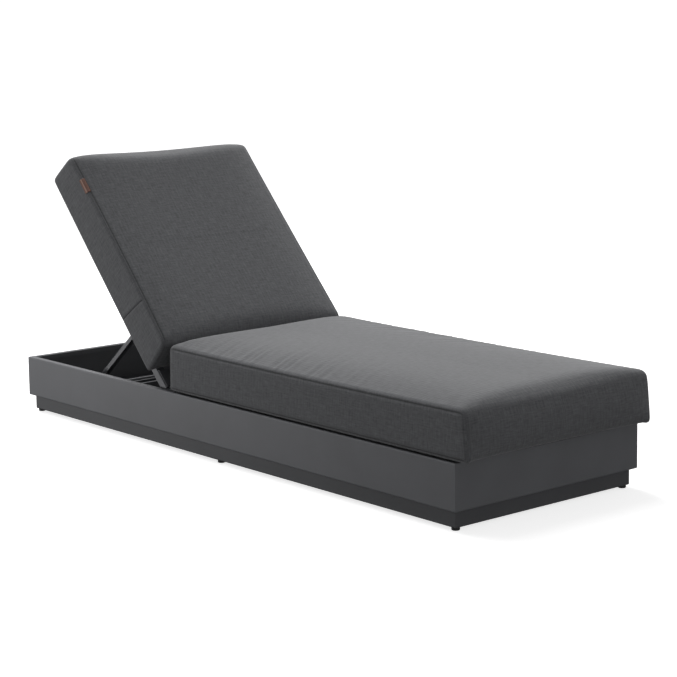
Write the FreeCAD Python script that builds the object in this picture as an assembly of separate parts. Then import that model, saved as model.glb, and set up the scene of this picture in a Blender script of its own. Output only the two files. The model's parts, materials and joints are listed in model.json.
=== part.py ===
# Sun lounger: a low box of folded aluminium sheet on a recessed plinth, a slatted deck
# inside it, a slatted back that tilts on two hinge pins, a propping frame with ratchet
# joints, and two loose upholstered cushions.
#
# X runs from the head end (-) to the foot end (+), Y across and Z up. The origin is under
# the middle of the whole lounger, on the ground. Lengths are millimetres.

import FreeCAD, Part
import math
import os

os.makedirs("parts", exist_ok=True)

V = FreeCAD.Vector

# Driving dimensions: the box
base_length = 2000.0
base_width = 672.0
panel_height = 125.0
panel_sheet = 3.0
panel_bend = 4.0
panel_top_flange = 20.0
panel_lip = 15.0
panel_bottom_flange = 28.0

# Driving dimensions: the plinth under the box
plinth_height = 45.0
plinth_inset = 15.0
plinth_sheet = 2.5
plinth_bend = 3.5
plinth_flange = 25.0
gusset_size = 80.0
gusset_sheet = 3.0

# Driving dimensions: the glides that the lounger stands on
glide_height = 8.0
glide_radius = 11.0
glide_chamfer = 1.5
glide_stem_radius = 4.0
glide_stem_height = 6.0

# Driving dimensions: tubes and slats of deck and back
tube_height = 25.0
rail_width = 30.0
back_tube_width = 28.0
tube_wall = 2.0
tube_corner = 2.5
cross_tube_width = 30.0
slat_width = 60.0
slat_thickness = 8.0
slat_edge = 2.5
slat_wall = 1.5
slat_gap_least = 26.0
back_slat_from_hinge = 7.0
deck_rise = 8.0
frame_gap = 5.0
ledge_depth = 50.0
ledge_drop = 28.0
ledge_sheet = 3.0

# Driving dimensions: the back hinge
hinge_from_head = 732.0
recline_angle = 46.0
hinge_pin_radius = 5.0
hinge_pin_head_radius = 8.0
hinge_pin_head = 3.0
hinge_plate = 4.0
hinge_plate_reach = 78.0
hinge_eye_radius = 12.0
hinge_swing_gap = 4.0
bush_wall = 2.0
bush_collar = 3.0
bush_collar_thickness = 0.7
bush_length = 10.0
back_tube_tail = 14.0
tube_cap = 2.0
tube_cap_plug = 14.0
back_end_gap = 8.0

# Driving dimensions: the prop
prop_pivot_reach = 249.0
prop_pivot_drop = 6.0
prop_length = 360.0
prop_width = 22.0
prop_depth = 14.0
prop_sheet = 2.0
prop_bend = 3.0
ratchet_radius = 18.0
ratchet_rim = 3.0
ratchet_thickness = 10.0
ratchet_tail = 52.0
prop_pin_radius = 4.0
prop_pin_head_radius = 7.0
prop_pin_head = 2.5
foot_bar_radius = 6.0
sleeve_wall = 3.0
sleeve_length = 14.0
sleeve_flare = 1.0
track_top = 100.7
track_depth = 53.0
track_drop = 26.0
track_sheet = 2.5
track_margin = 34.0

# Driving dimensions: the slotted cross tube in the head end and its rubber buffers
stop_tube_from_hinge = 299.0
stop_tube_width = 50.0
stop_tube_top = 138.0
stop_tube_lip = 7.0
stop_plate = 4.0
stop_plate_margin = 8.0
buffer_radius = 12.0
buffer_taper = 2.0

# Driving dimensions: the cushions
cushion_gap = 2.6
seat_cushion_thickness = 130.0
seat_cushion_crown = 20.0
back_cushion_length = 748.0
back_cushion_thickness = 123.0
back_cushion_crown = 12.0
foot_overhang = 46.0
back_cushion_from_hinge = 60.0
cushion_shoulder = 110.0
cushion_side_bulge = 4.0
cushion_end_bulge = 6.0
cushion_end_radius = 22.0
cushion_edge_radius = 10.0
cushion_bottom_radius = 10.0
tag_length = 52.0
tag_width = 16.0
tag_thickness = 1.2
tag_from_top = 103.0
tag_lean = 45.0

# Driving dimensions: fits and cutting
rest_gap = 0.3
running_gap = 0.1
side_gap = 0.3
overrun = 5.0

# Places worked out from the driving dimensions
half_width = base_width / 2
overall_length = base_length + foot_overhang
head_x = -overall_length / 2
foot_x = head_x + base_length
panel_bottom = glide_height + plinth_height
panel_top = panel_bottom + panel_height
deck_top = panel_top + deck_rise
tube_top = deck_top - slat_thickness
tube_mid = tube_top - tube_height / 2
tube_bottom = tube_top - tube_height
rail_outer = half_width - panel_top_flange - frame_gap
rail_inner = rail_outer - rail_width
rail_mid = (rail_outer + rail_inner) / 2
back_outer = rail_mid + back_tube_width / 2
back_inner = rail_mid - back_tube_width / 2
hinge_x = head_x + hinge_from_head
hinge_point = V(hinge_x, 0, tube_mid)
tail_length = back_tube_tail + tube_cap
rail_start = hinge_x + math.hypot(tail_length, tube_height / 2) + hinge_swing_gap
rail_end = foot_x - panel_top_flange - frame_gap
back_reach = hinge_from_head - panel_top_flange - back_end_gap
back_end = hinge_x - back_reach
cushion_bottom = deck_top + rest_gap

X_AXIS = V(1, 0, 0)
Y_AXIS = V(0, 1, 0)
Z_AXIS = V(0, 0, 1)
ORIGIN = V(0, 0, 0)

nodes = {}


def keep(name, shape):
    """Store one node's shape under its name."""
    nodes[name] = shape


def both_sides(name, shape):
    """Keep a piece of the -Y side as the left one and its mirror image as the right one."""
    keep(name + "_left", shape)
    keep(name + "_right", shape.mirror(ORIGIN, Y_AXIS))


def box(low, high):
    """A block between two opposite corners."""
    size = high - low
    return Part.makeBox(size.x, size.y, size.z, low)


def cylinder_y(radius, start, end, x, z):
    """A round bar along Y."""
    return Part.makeCylinder(radius, end - start, V(x, start, z), Y_AXIS)


def turned(profile, axis_point, axis):
    """A turned piece: the closed profile spun about the axis."""
    wire = Part.makePolygon(profile + profile[:1])
    return Part.Face(wire).revolve(axis_point, axis, 360)


def rounded_path(points, radius):
    """The edges of an open path through the points, with its corners rounded."""
    edges = []
    start = points[0]
    for before, corner, after in zip(points, points[1:], points[2:]):
        towards = (before - corner).normalize()
        away = (after - corner).normalize()
        half_angle = towards.getAngle(away) / 2
        tangent = radius / math.tan(half_angle)
        to_arc = (towards + away).normalize() * (radius / math.sin(half_angle) - radius)
        first = corner + towards * tangent
        last = corner + away * tangent
        edges.append(Part.LineSegment(start, first).toShape())
        edges.append(Part.Arc(first, corner + to_arc, last).toShape())
        start = last
    edges.append(Part.LineSegment(start, points[-1]).toShape())
    return edges


def inner_line(outline, sheet):
    """The (inward, height) points of a folded sheet's inner face, to the left of its outer one."""
    directions = []
    for start, end in zip(outline, outline[1:]):
        run = V(end[0] - start[0], end[1] - start[1], 0).normalize()
        directions.append(V(-run.y, run.x, 0))
    shifts = [directions[0]]
    for before, after in zip(directions, directions[1:]):
        shifts.append((before + after) * (1 / (1 + before.dot(after))))
    shifts.append(directions[-1])
    return [(p[0] + s.x * sheet, p[1] + s.y * sheet) for p, s in zip(outline, shifts)]


def folded_face(outline, sheet, bend, place):
    """The section of a folded sheet whose outer face follows the outline."""
    outer = [place(*point) for point in outline]
    inner = [place(*point) for point in inner_line(outline, sheet)]
    edges = rounded_path(outer, bend) + rounded_path(inner, bend - sheet)
    edges.append(Part.LineSegment(outer[0], inner[0]).toShape())
    edges.append(Part.LineSegment(outer[-1], inner[-1]).toShape())
    return Part.Face(Part.Wire(Part.__sortEdges__(edges)))


def rounded_rectangle(low, high, radius, place):
    """A closed rectangle with round corners, in the plane that place gives."""
    (a, b), (c, d) = low, high
    half = math.sqrt(0.5) * radius
    centres = [(c - radius, d - radius), (a + radius, d - radius),
               (a + radius, b + radius), (c - radius, b + radius)]
    turns = [(1, 1), (-1, 1), (-1, -1), (1, -1)]
    ends = []
    edges = []
    for number, ((x, y), (i, j)) in enumerate(zip(centres, turns)):
        along = place(x + i * radius, y)
        across = place(x, y + j * radius)
        middle = place(x + i * half, y + j * half)
        first, last = (along, across) if number % 2 == 0 else (across, along)
        edges.append(Part.Arc(first, middle, last).toShape())
        ends.append((first, last))
    for number in range(len(ends)):
        start = ends[number][1]
        end = ends[(number + 1) % len(ends)][0]
        edges.append(Part.LineSegment(start, end).toShape())
    return Part.Wire(Part.__sortEdges__(edges))


def tube(low, high, radius, wall, place, along):
    """A rectangular tube; place turns section points to space and along is its length."""
    inside_low = (low[0] + wall, low[1] + wall)
    inside_high = (high[0] - wall, high[1] - wall)
    outside = Part.Face(rounded_rectangle(low, high, radius, place)).extrude(along)
    inside = rounded_rectangle(inside_low, inside_high, radius - wall, place)
    return outside.cut(Part.Face(inside).extrude(along))


def tube_x(start, end, y_low, y_high, z_low, z_high):
    """A frame tube that runs along X."""
    def place(y, z):
        return V(start, y, z)
    return tube((y_low, z_low), (y_high, z_high), tube_corner, tube_wall, place,
                X_AXIS * (end - start))


def tube_y(half_length, x_low, x_high, z_low, z_high):
    """A frame tube that runs across the lounger."""
    def place(x, z):
        return V(x, -half_length, z)
    return tube((x_low, z_low), (x_high, z_high), tube_corner, tube_wall, place,
                Y_AXIS * (2 * half_length))


def raised(shape):
    """Tilt a piece of the back from flat to its propped angle."""
    return shape.rotated(hinge_point, Y_AXIS, recline_angle)


def raised_point(point):
    """Where a point of the flat back lies when the back is propped."""
    return FreeCAD.Rotation(Y_AXIS, recline_angle).multVec(point - hinge_point) + hinge_point


# The box and its plinth: four folded sheets each, mitred at the corners
def mitre_wedge(corners, bottom, top):
    """An upright block over a plan outline."""
    points = [V(x, y, bottom - overrun) for x, y in corners]
    face = Part.Face(Part.makePolygon(points + points[:1]))
    return face.extrude(Z_AXIS * (top - bottom + 2 * overrun))


def mitred_ring(name, inset, outline, sheet, bend, bottom, top):
    """Four folded sheets round the lounger: name_left, name_right, name_head, name_foot."""
    start, end, side = head_x + inset, foot_x - inset, half_width - inset
    centre_line = side

    def side_place(inward, height):
        return V(start, -side + inward, height)

    def head_place(inward, height):
        return V(start + inward, -side, height)

    long_run = folded_face(outline, sheet, bend, side_place).extrude(X_AXIS * (end - start))
    plan = [(start, -side), (end, -side), (end - centre_line, 0), (start + centre_line, 0)]
    both_sides(name, long_run.common(mitre_wedge(plan, bottom, top)))
    cross_run = folded_face(outline, sheet, bend, head_place).extrude(Y_AXIS * (2 * side))
    plan = [(start, -side), (start + centre_line, 0), (start, side)]
    head = cross_run.common(mitre_wedge(plan, bottom, top))
    keep(name + "_head", head)
    keep(name + "_foot", head.mirror(V((start + end) / 2, 0, 0), X_AXIS))


def make_box():
    panel = [(panel_top_flange, panel_top - panel_lip), (panel_top_flange, panel_top),
             (0, panel_top), (0, panel_bottom), (panel_bottom_flange, panel_bottom)]
    mitred_ring("panel", 0, panel, panel_sheet, panel_bend, panel_bottom, panel_top)
    plinth = [(plinth_flange, panel_bottom), (0, panel_bottom), (0, glide_height),
              (plinth_flange, glide_height)]
    mitred_ring("plinth", plinth_inset, plinth, plinth_sheet, plinth_bend,
                glide_height, panel_bottom)


def make_gussets():
    """Flat triangles that tie the mitred corners of the box on its bottom flange."""
    bottom = panel_bottom + panel_sheet
    near = panel_bend
    far = near + gusset_size
    points = [V(head_x + near, -half_width + near, bottom),
              V(head_x + far, -half_width + near, bottom),
              V(head_x + near, -half_width + far, bottom)]
    head = Part.Face(Part.makePolygon(points + points[:1])).extrude(Z_AXIS * gusset_sheet)
    both_sides("corner_gusset_head", head)
    both_sides("corner_gusset_foot", head.mirror(V((head_x + foot_x) / 2, 0, 0), X_AXIS))


def glide_places():
    """Plan places of the glides on the -Y side, from head to foot."""
    inset = plinth_inset + plinth_sheet + glide_radius
    ends = (head_x + inset, foot_x - inset)
    return [("head", ends[0]), ("middle", sum(ends) / 2), ("foot", ends[1])], inset


def make_glides():
    """Plastic glides, each a disc with a stem through the plinth's bottom flange."""
    places, inset = glide_places()
    y = -half_width + inset
    holes = []
    for name, x in places:
        profile = [V(x, y, 0), V(x + glide_radius - glide_chamfer, y, 0),
                   V(x + glide_radius, y, glide_chamfer), V(x + glide_radius, y, glide_height),
                   V(x + glide_stem_radius, y, glide_height),
                   V(x + glide_stem_radius, y, glide_height + glide_stem_height),
                   V(x, y, glide_height + glide_stem_height)]
        both_sides("glide_" + name, turned(profile, V(x, y, 0), Z_AXIS))
        hole = Part.makeCylinder(glide_stem_radius, plinth_sheet + 2 * overrun,
                                 V(x, y, glide_height - overrun))
        holes += [hole, hole.mirror(ORIGIN, Y_AXIS)]
    for part_name in ("left", "right", "head", "foot"):
        nodes["plinth_" + part_name] = nodes["plinth_" + part_name].cut(holes)


# The deck: rails on ledges, cross tubes and slats
def angle_ledge(start, end, top, depth, drop, sheet, bend):
    """A folded angle on the inside of a side panel, its flat leg on top."""
    def place(inward, height):
        return V(start, -half_width + panel_sheet + inward, height)
    outline = [(depth, top), (0, top), (0, top - drop)]
    return folded_face(outline, sheet, bend, place).extrude(X_AXIS * (end - start))


def make_deck():
    ledge_end = foot_x - panel_top_flange
    both_sides("deck_ledge", angle_ledge(rail_start, ledge_end, tube_bottom, ledge_depth,
                                         ledge_drop, ledge_sheet, panel_bend))
    both_sides("deck_rail", tube_x(rail_start, rail_end, -rail_outer, -rail_inner,
                                   tube_bottom, tube_top))
    middle = (rail_start + rail_end - cross_tube_width) / 2
    places = [("hinge", rail_start, rail_inner - hinge_plate), ("middle", middle, rail_inner),
              ("foot", rail_end - cross_tube_width, rail_inner)]
    for name, x, half_length in places:
        keep("deck_cross_tube_" + name,
             tube_y(half_length, x, x + cross_tube_width, tube_bottom, tube_top))


def slat_row(start, end, half_length):
    """Slats across the frame between two places, evenly spaced, as one group."""
    count = int((end - start + slat_gap_least) // (slat_width + slat_gap_least))
    pitch = (end - start - slat_width) / (count - 1)
    slats = []
    for number in range(count):
        x = start + number * pitch

        def place(along, height):
            return V(x + along, -half_length, height)
        slats.append(tube((0, tube_top), (slat_width, deck_top), slat_edge, slat_wall, place,
                          Y_AXIS * (2 * half_length)))
    return Part.makeCompound(slats)


# The back: a frame on the same level as the deck, modelled flat and then raised
def make_back_frame():
    side = tube_x(back_end, hinge_x + back_tube_tail, -back_outer, -back_inner,
                  tube_bottom, tube_top)
    bush_radius = hinge_pin_radius + running_gap + bush_wall
    side = side.cut(cylinder_y(bush_radius, -back_outer - overrun, -back_inner + overrun,
                               hinge_x, tube_mid))
    both_sides("back_side_tube", raised(side))
    low_start = hinge_x - back_tube_tail - cross_tube_width
    keep("back_cross_tube_low", raised(tube_y(back_inner, low_start,
                                              low_start + cross_tube_width,
                                              tube_bottom, tube_top)))
    top_start = back_end + tube_wall
    keep("back_cross_tube_top", raised(tube_y(back_inner, top_start,
                                              top_start + cross_tube_width,
                                              tube_bottom, tube_top)))
    keep("back_slats", raised(slat_row(back_end + slat_edge, hinge_x - back_slat_from_hinge,
                                        back_outer)))
    keep("seat_slats", slat_row(rail_start, rail_end, rail_outer))


def tube_plug(x, outward):
    """A plastic plug in the end of a back side tube, outward giving its side of x."""
    def place(y, z):
        return V(x, y, z)
    low = (-back_outer, tube_bottom)
    high = (-back_inner, tube_top)
    flat = Part.Face(rounded_rectangle(low, high, tube_corner, place))
    inner_low = (low[0] + tube_wall, low[1] + tube_wall)
    inner_high = (high[0] - tube_wall, high[1] - tube_wall)
    stem = Part.Face(rounded_rectangle(inner_low, inner_high, tube_corner - tube_wall, place))
    return flat.extrude(X_AXIS * (outward * tube_cap)).fuse(
        stem.extrude(X_AXIS * (-outward * tube_cap_plug)))


def make_tube_caps():
    head = tube_plug(back_end, -1)
    both_sides("back_tube_cap", raised(head))


# The hinge: plates on the deck rails, a pin each side and flanged bushes in the back tubes
def make_hinge():
    def plate(start, end):
        bar = box(V(hinge_x, start, tube_bottom), V(hinge_x + hinge_plate_reach, end, tube_top))
        eye = cylinder_y(hinge_eye_radius, start, end, hinge_x, tube_mid)
        hole = cylinder_y(hinge_pin_radius, start - overrun, end + overrun, hinge_x, tube_mid)
        return bar.fuse(eye).removeSplitter().cut(hole)

    outer = (-rail_outer - hinge_plate, -rail_outer)
    inner = (-rail_inner, -rail_inner + hinge_plate)
    both_sides("hinge_plate_outer", plate(*outer))
    both_sides("hinge_plate_inner", plate(*inner))
    head_start = inner[1]
    profile_radii = [(outer[0], 0), (outer[0], hinge_pin_radius), (head_start, hinge_pin_radius),
                     (head_start, hinge_pin_head_radius),
                     (head_start + hinge_pin_head, hinge_pin_head_radius - bush_wall),
                     (head_start + hinge_pin_head, 0)]
    profile = [V(hinge_x, y, tube_mid + radius) for y, radius in profile_radii]
    both_sides("hinge_pin", turned(profile, hinge_point, Y_AXIS))
    bore = hinge_pin_radius + running_gap
    wall = bore + bush_wall
    collar = wall + bush_collar
    bushes = []
    for face, direction in ((-back_outer, 1), (-back_inner, -1)):
        steps = [(face - direction * bush_collar_thickness, bore),
                 (face - direction * bush_collar_thickness, collar), (face, collar),
                 (face, wall), (face + direction * bush_length, wall),
                 (face + direction * bush_length, bore)]
        ring = [V(hinge_x, y, tube_mid + radius) for y, radius in steps]
        bushes.append(turned(ring, hinge_point, Y_AXIS))
    both_sides("hinge_bushes", raised(Part.makeCompound(bushes)))


# The prop: channel legs on ratchet joints, a foot bar and nylon sleeves on two tracks
pivot_flat = V(hinge_x - prop_pivot_reach, 0, tube_mid - prop_pivot_drop)
pivot = raised_point(pivot_flat)
sleeve_radius = foot_bar_radius + sleeve_wall
foot_height = track_top + rest_gap + sleeve_radius
prop_angle = math.degrees(math.asin((pivot.z - foot_height) / prop_length))
prop_angle_flat = math.degrees(math.asin((pivot_flat.z - foot_height) / prop_length))
foot = V(pivot.x - prop_length * math.cos(math.radians(prop_angle)), 0, foot_height)
foot_flat_x = pivot_flat.x - prop_length * math.cos(math.radians(prop_angle_flat))
leg_outer = back_inner - ratchet_thickness - side_gap
leg_inner = leg_outer - prop_width


def leaned(shape):
    """Tilt a prop piece, modelled level and pointing to the head end, about its pivot."""
    return shape.rotated(pivot, Y_AXIS, -prop_angle)


def make_prop():
    foot_level = pivot.x - prop_length
    half_depth = prop_depth / 2
    end_radius = half_depth

    def place(across, height):
        return V(foot_level - end_radius, -leg_outer + across, pivot.z - half_depth + height)

    outline = [(0, prop_depth), (0, 0), (prop_width, 0), (prop_width, prop_depth)]
    length = prop_length + 2 * end_radius
    channel = folded_face(outline, prop_sheet, prop_bend, place).extrude(X_AXIS * length)
    ends = cylinder_y(half_depth, -leg_outer, -leg_inner, pivot.x, pivot.z).fuse(
        cylinder_y(half_depth, -leg_outer, -leg_inner, foot_level, pivot.z))
    middle = box(V(foot_level, -leg_outer, pivot.z - half_depth),
                 V(pivot.x, -leg_inner, pivot.z + half_depth))
    leg = channel.common(ends.fuse(middle).removeSplitter())
    pin_hole = cylinder_y(prop_pin_radius + running_gap, -leg_outer - overrun,
                          -leg_inner + overrun, pivot.x, pivot.z)
    bar_hole = cylinder_y(foot_bar_radius, -leg_outer - overrun, -leg_inner + overrun,
                          foot_level, pivot.z)
    both_sides("prop_leg", leaned(leg.cut(pin_hole).cut(bar_hole)))
    bar_end = leg_outer + sleeve_length + sleeve_wall
    bar = cylinder_y(foot_bar_radius, -bar_end, bar_end, foot_level, pivot.z)
    keep("prop_foot_bar", leaned(bar))
    start = -bar_end - sleeve_flare
    end = start + sleeve_length
    steps = [(start, 0), (start, sleeve_radius - sleeve_flare),
             (start + sleeve_flare, sleeve_radius), (end, sleeve_radius),
             (end, foot_bar_radius), (-bar_end, foot_bar_radius), (-bar_end, 0)]
    profile = [V(foot_level, y, pivot.z + radius) for y, radius in steps]
    sleeve = turned(profile, V(foot_level, 0, pivot.z), Y_AXIS)
    both_sides("foot_bar_sleeve", leaned(sleeve))
    print("prop angle raised", round(prop_angle, 4), "flat", round(prop_angle_flat, 4))
    print("pivot", pivot, "foot", foot, "foot x flat", round(foot_flat_x, 2))


def make_ratchets():
    """Closed ratchet joints on the inner faces of the back side tubes, and the prop's pins."""
    start, end = -back_inner, -back_inner + ratchet_thickness
    x, z = pivot_flat.x, pivot_flat.z
    steps = [(start, 0), (start, ratchet_radius), (end - ratchet_rim, ratchet_radius),
             (end, ratchet_radius - ratchet_rim), (end, 0)]
    body = turned([V(x, y, z + radius) for y, radius in steps], V(x, 0, z), Y_AXIS)
    tail_low = V(x, start, tube_bottom + tube_corner)
    tail_high = V(x + ratchet_tail, end - ratchet_rim, tube_top - tube_corner)
    body = body.fuse(box(tail_low, tail_high)).removeSplitter()
    hole = cylinder_y(prop_pin_radius, start - overrun, end + overrun, x, z)
    both_sides("ratchet_joint", raised(body.cut(hole)))
    head = -leg_inner + side_gap
    pin_steps = [(start, 0), (start, prop_pin_radius), (head, prop_pin_radius),
                 (head, prop_pin_head_radius), (head + prop_pin_head, prop_pin_radius),
                 (head + prop_pin_head, 0)]
    pin = turned([V(x, y, z + radius) for y, radius in pin_steps], V(x, 0, z), Y_AXIS)
    both_sides("prop_pin", raised(pin))


def make_tracks():
    start = foot_flat_x - track_margin
    end = foot.x + track_margin
    both_sides("prop_track", angle_ledge(start, end, track_top, track_depth, track_drop,
                                         track_sheet, plinth_bend))


def make_stop_tube():
    """The cross tube in the head end, and the rubber buffers that the flat back lies on.

    The tube is open along its top between two lips, and the buffers stand on its floor.
    """
    middle = hinge_x - stop_tube_from_hinge
    low = middle - stop_tube_width / 2
    high = middle + stop_tube_width / 2
    bottom = stop_tube_top - tube_height
    plate_face = half_width - panel_sheet
    tube_half = plate_face - stop_plate
    slot = box(V(low + stop_tube_lip, -tube_half, stop_tube_top - tube_wall - tube_corner),
               V(high - stop_tube_lip, tube_half, stop_tube_top + overrun))
    body = tube_y(tube_half, low, high, bottom, stop_tube_top).cut(slot)
    plates = []
    for start in (-plate_face, tube_half):
        plates.append(box(V(low - stop_plate_margin, start, bottom - stop_plate_margin),
                          V(high + stop_plate_margin, start + stop_plate,
                            stop_tube_top + stop_plate_margin)))
    keep("head_cross_tube", body.multiFuse(plates).removeSplitter())
    floor = bottom + tube_wall
    top = tube_bottom - rest_gap
    profile = [V(middle, -rail_mid, floor), V(middle + buffer_radius, -rail_mid, floor),
               V(middle + buffer_radius - buffer_taper, -rail_mid, top), V(middle, -rail_mid, top)]
    both_sides("rest_buffer", turned(profile, V(middle, -rail_mid, 0), Z_AXIS))


# The cushions: crowned boxes with soft edges, lofted through lines and arcs
def section_corner(x, side, half, height, radius, upward):
    """Start, middle and end of a rounded corner, from the side face to the level one."""
    centre = V(x, side * (half - radius), height - upward * radius)
    reach = math.sqrt(0.5) * radius
    return (centre + V(0, side * radius, 0), centre + V(0, side * reach, upward * reach),
            centre + V(0, 0, upward * radius))


def section_shoulder(x, side, half, top, crown):
    """Middle and upper end of the arc that rises from a sewn edge to the level crown."""
    width = cushion_shoulder - cushion_edge_radius
    radius = (width ** 2 + crown ** 2) / (2 * crown)
    half_turn = math.asin(width / radius) / 2
    level = half - cushion_shoulder
    middle = V(x, side * (level + radius * math.sin(half_turn)),
               top + crown - radius * (1 - math.cos(half_turn)))
    return middle, V(x, side * level, top + crown)


def cushion_section(x, half, bottom, top, crown, bulge):
    """One closed cross-section of a cushion: level underneath and over its crown."""
    lows = [section_corner(x, side, half, bottom, cushion_bottom_radius, -1) for side in (1, -1)]
    tops = [section_corner(x, side, half, top, cushion_edge_radius, 1) for side in (1, -1)]
    shoulders = [section_shoulder(x, side, half, top, crown) for side in (1, -1)]
    middle_height = (tops[0][0].z + lows[0][0].z) / 2
    right_low, left_low = lows
    right_top, left_top = tops
    right_shoulder, left_shoulder = shoulders
    edges = [Part.LineSegment(left_low[2], right_low[2]),
             Part.Arc(right_low[2], right_low[1], right_low[0]),
             Part.Arc(right_low[0], V(x, half + bulge, middle_height), right_top[0]),
             Part.Arc(right_top[0], right_top[1], right_top[2]),
             Part.Arc(right_top[2], right_shoulder[0], right_shoulder[1]),
             Part.LineSegment(right_shoulder[1], left_shoulder[1]),
             Part.Arc(left_shoulder[1], left_shoulder[0], left_top[2]),
             Part.Arc(left_top[2], left_top[1], left_top[0]),
             Part.Arc(left_top[0], V(x, -half - bulge, middle_height), left_low[0]),
             Part.Arc(left_low[0], left_low[1], left_low[2])]
    return Part.Wire([edge.toShape() for edge in edges])


end_face_shares = ((0.0, 2.0), (0.55, 1.4))
end_turn_shares = (0.0, 0.25, 0.5, 0.75, 1.0)
swell_shares = (0.08, 0.2, 0.35, 0.5, 0.65, 0.8, 0.92)


def end_stations():
    """Depth and inset of a cushion's sections, from its end face round to its full size."""
    radius = cushion_end_radius
    stations = [(depth * cushion_end_bulge, inset * radius) for depth, inset in end_face_shares]
    for share in end_turn_shares:
        turn = share * math.pi / 2
        stations.append((cushion_end_bulge + radius * (1 - math.cos(turn)),
                         radius * (1 - math.sin(turn))))
    return stations


def cushion(start, length, bottom, thickness, crown):
    """A crowned cushion from start along +X; its ends roll in and its sides swell."""
    near_end = [(depth, inset, 0.0) for depth, inset in end_stations()]
    middle = [(share * length, 0.0, math.sqrt(math.sin(share * math.pi)))
              for share in swell_shares]
    far_end = [(length - depth, inset, swell) for depth, inset, swell in reversed(near_end)]
    sections = []
    for x, inset, swell in near_end + middle + far_end:
        fullness = (1 + swell) / 2
        sections.append(cushion_section(
            start + x, half_width - inset,
            bottom + inset * cushion_bottom_radius / cushion_end_radius,
            bottom + thickness - inset, crown * fullness, cushion_side_bulge * fullness))
    return Part.makeLoft(sections, True, True)


def make_cushions():
    low_end = hinge_x - back_cushion_from_hinge
    high_end = low_end - back_cushion_length
    keep("back_cushion", raised(cushion(high_end, back_cushion_length, cushion_bottom,
                                        back_cushion_thickness, back_cushion_crown)))
    corner = V(low_end - cushion_end_bulge - cushion_end_radius, 0,
               cushion_bottom + back_cushion_thickness - cushion_end_radius)
    seat_start = raised_point(corner).x + cushion_end_radius + cushion_gap
    seat_end = foot_x + foot_overhang
    keep("seat_cushion", cushion(seat_start, seat_end - seat_start, cushion_bottom,
                                 seat_cushion_thickness, seat_cushion_crown))


def make_tag():
    """A folded ribbon on the sewn front edge of the back cushion's -Y side."""
    high_end = hinge_x - back_cushion_from_hinge - back_cushion_length
    edge_centre = V(high_end + tag_from_top, cushion_edge_radius - half_width,
                    cushion_bottom + back_cushion_thickness - cushion_edge_radius)
    lift = cushion_edge_radius + rest_gap
    ribbon = box(V(0, -tag_width / 2, lift), V(tag_length, tag_width / 2, lift + tag_thickness))
    keep("seam_tag", raised(ribbon.rotated(ORIGIN, X_AXIS, tag_lean).translated(edge_centre)))


make_box()
make_gussets()
make_glides()
make_deck()
make_back_frame()
make_tube_caps()
make_hinge()
make_prop()
make_ratchets()
make_tracks()
make_stop_tube()
make_cushions()
make_tag()

for node_name, node_shape in nodes.items():
    node_shape.exportStep("parts/" + node_name + ".step")
    print(node_name, node_shape.ShapeType, len(node_shape.Solids), round(node_shape.Volume, 1),
          node_shape.isValid())
print(len(nodes), "nodes")
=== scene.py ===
# %% [markdown]
# # A low sun lounger
# The lounger is a long shallow box of folded aluminium on a recessed plinth. Two thick
# cushions lie loose on it, and a prop with two channel legs holds the back up. The
# construction comes ready from CAD and keeps its sizes. This notebook gives every piece its
# finish, sews the cushions anew, because cloth is what a CAD solid shows worst, and adds the
# small fasteners. All lengths are in metres, in the frame of the CAD model: X runs from the
# head end to the foot end, and Z is up.

# %% Load the frame
import bpy
import json
import math
import numpy as np
from mathutils import Matrix, Vector
from mathutils.kdtree import KDTree


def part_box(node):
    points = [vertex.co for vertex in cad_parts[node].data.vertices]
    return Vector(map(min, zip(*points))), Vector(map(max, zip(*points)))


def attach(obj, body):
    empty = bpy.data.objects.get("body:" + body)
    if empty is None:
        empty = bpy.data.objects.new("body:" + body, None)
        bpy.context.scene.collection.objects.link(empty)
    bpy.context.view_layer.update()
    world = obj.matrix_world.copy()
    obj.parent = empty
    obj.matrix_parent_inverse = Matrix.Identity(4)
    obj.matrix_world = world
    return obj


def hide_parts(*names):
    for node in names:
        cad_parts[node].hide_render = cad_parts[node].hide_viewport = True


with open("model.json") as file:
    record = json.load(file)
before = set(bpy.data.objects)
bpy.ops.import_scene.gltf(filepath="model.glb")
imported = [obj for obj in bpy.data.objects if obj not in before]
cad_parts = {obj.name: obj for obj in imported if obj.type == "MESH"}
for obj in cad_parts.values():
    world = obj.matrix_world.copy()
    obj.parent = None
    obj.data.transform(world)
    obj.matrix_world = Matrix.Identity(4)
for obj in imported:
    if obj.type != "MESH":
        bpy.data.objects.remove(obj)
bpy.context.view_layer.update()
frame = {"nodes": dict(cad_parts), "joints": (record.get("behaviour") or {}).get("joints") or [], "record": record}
nodes = frame["nodes"]
MM = 0.001

# %% [markdown]
# ## Where the back turns
# The back turns about one axis across the lounger and is propped up at rest. Its cushion
# could be sewn at that slope, but seams and threads are simpler on a slab that lies square to
# the axes. So it is made lying flat and tilted last, and the hinge point and the angle come
# first, from the joint in the frame.

# %% The hinge of the back
recline = next(joint for joint in frame["joints"] if joint["name"] == "backrest_recline")
hinge = Vector(recline["pos_m"])
back_angle = math.radians(-recline["range_deg"][0])
tilt = (Matrix.Translation(hinge) @ Matrix.Rotation(back_angle, 4, "Y")
        @ Matrix.Translation(-hinge))
print("the back is propped at", round(math.degrees(back_angle), 1), "degrees")


def flat_box(node):
    """Lowest and highest corner of a node of the back, with the back laid flat."""
    flat = [tilt.inverted() @ v.co for v in nodes[node].data.vertices]
    return (Vector([min(p[i] for p in flat) for i in range(3)]),
            Vector([max(p[i] for p in flat) for i in range(3)]))
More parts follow.
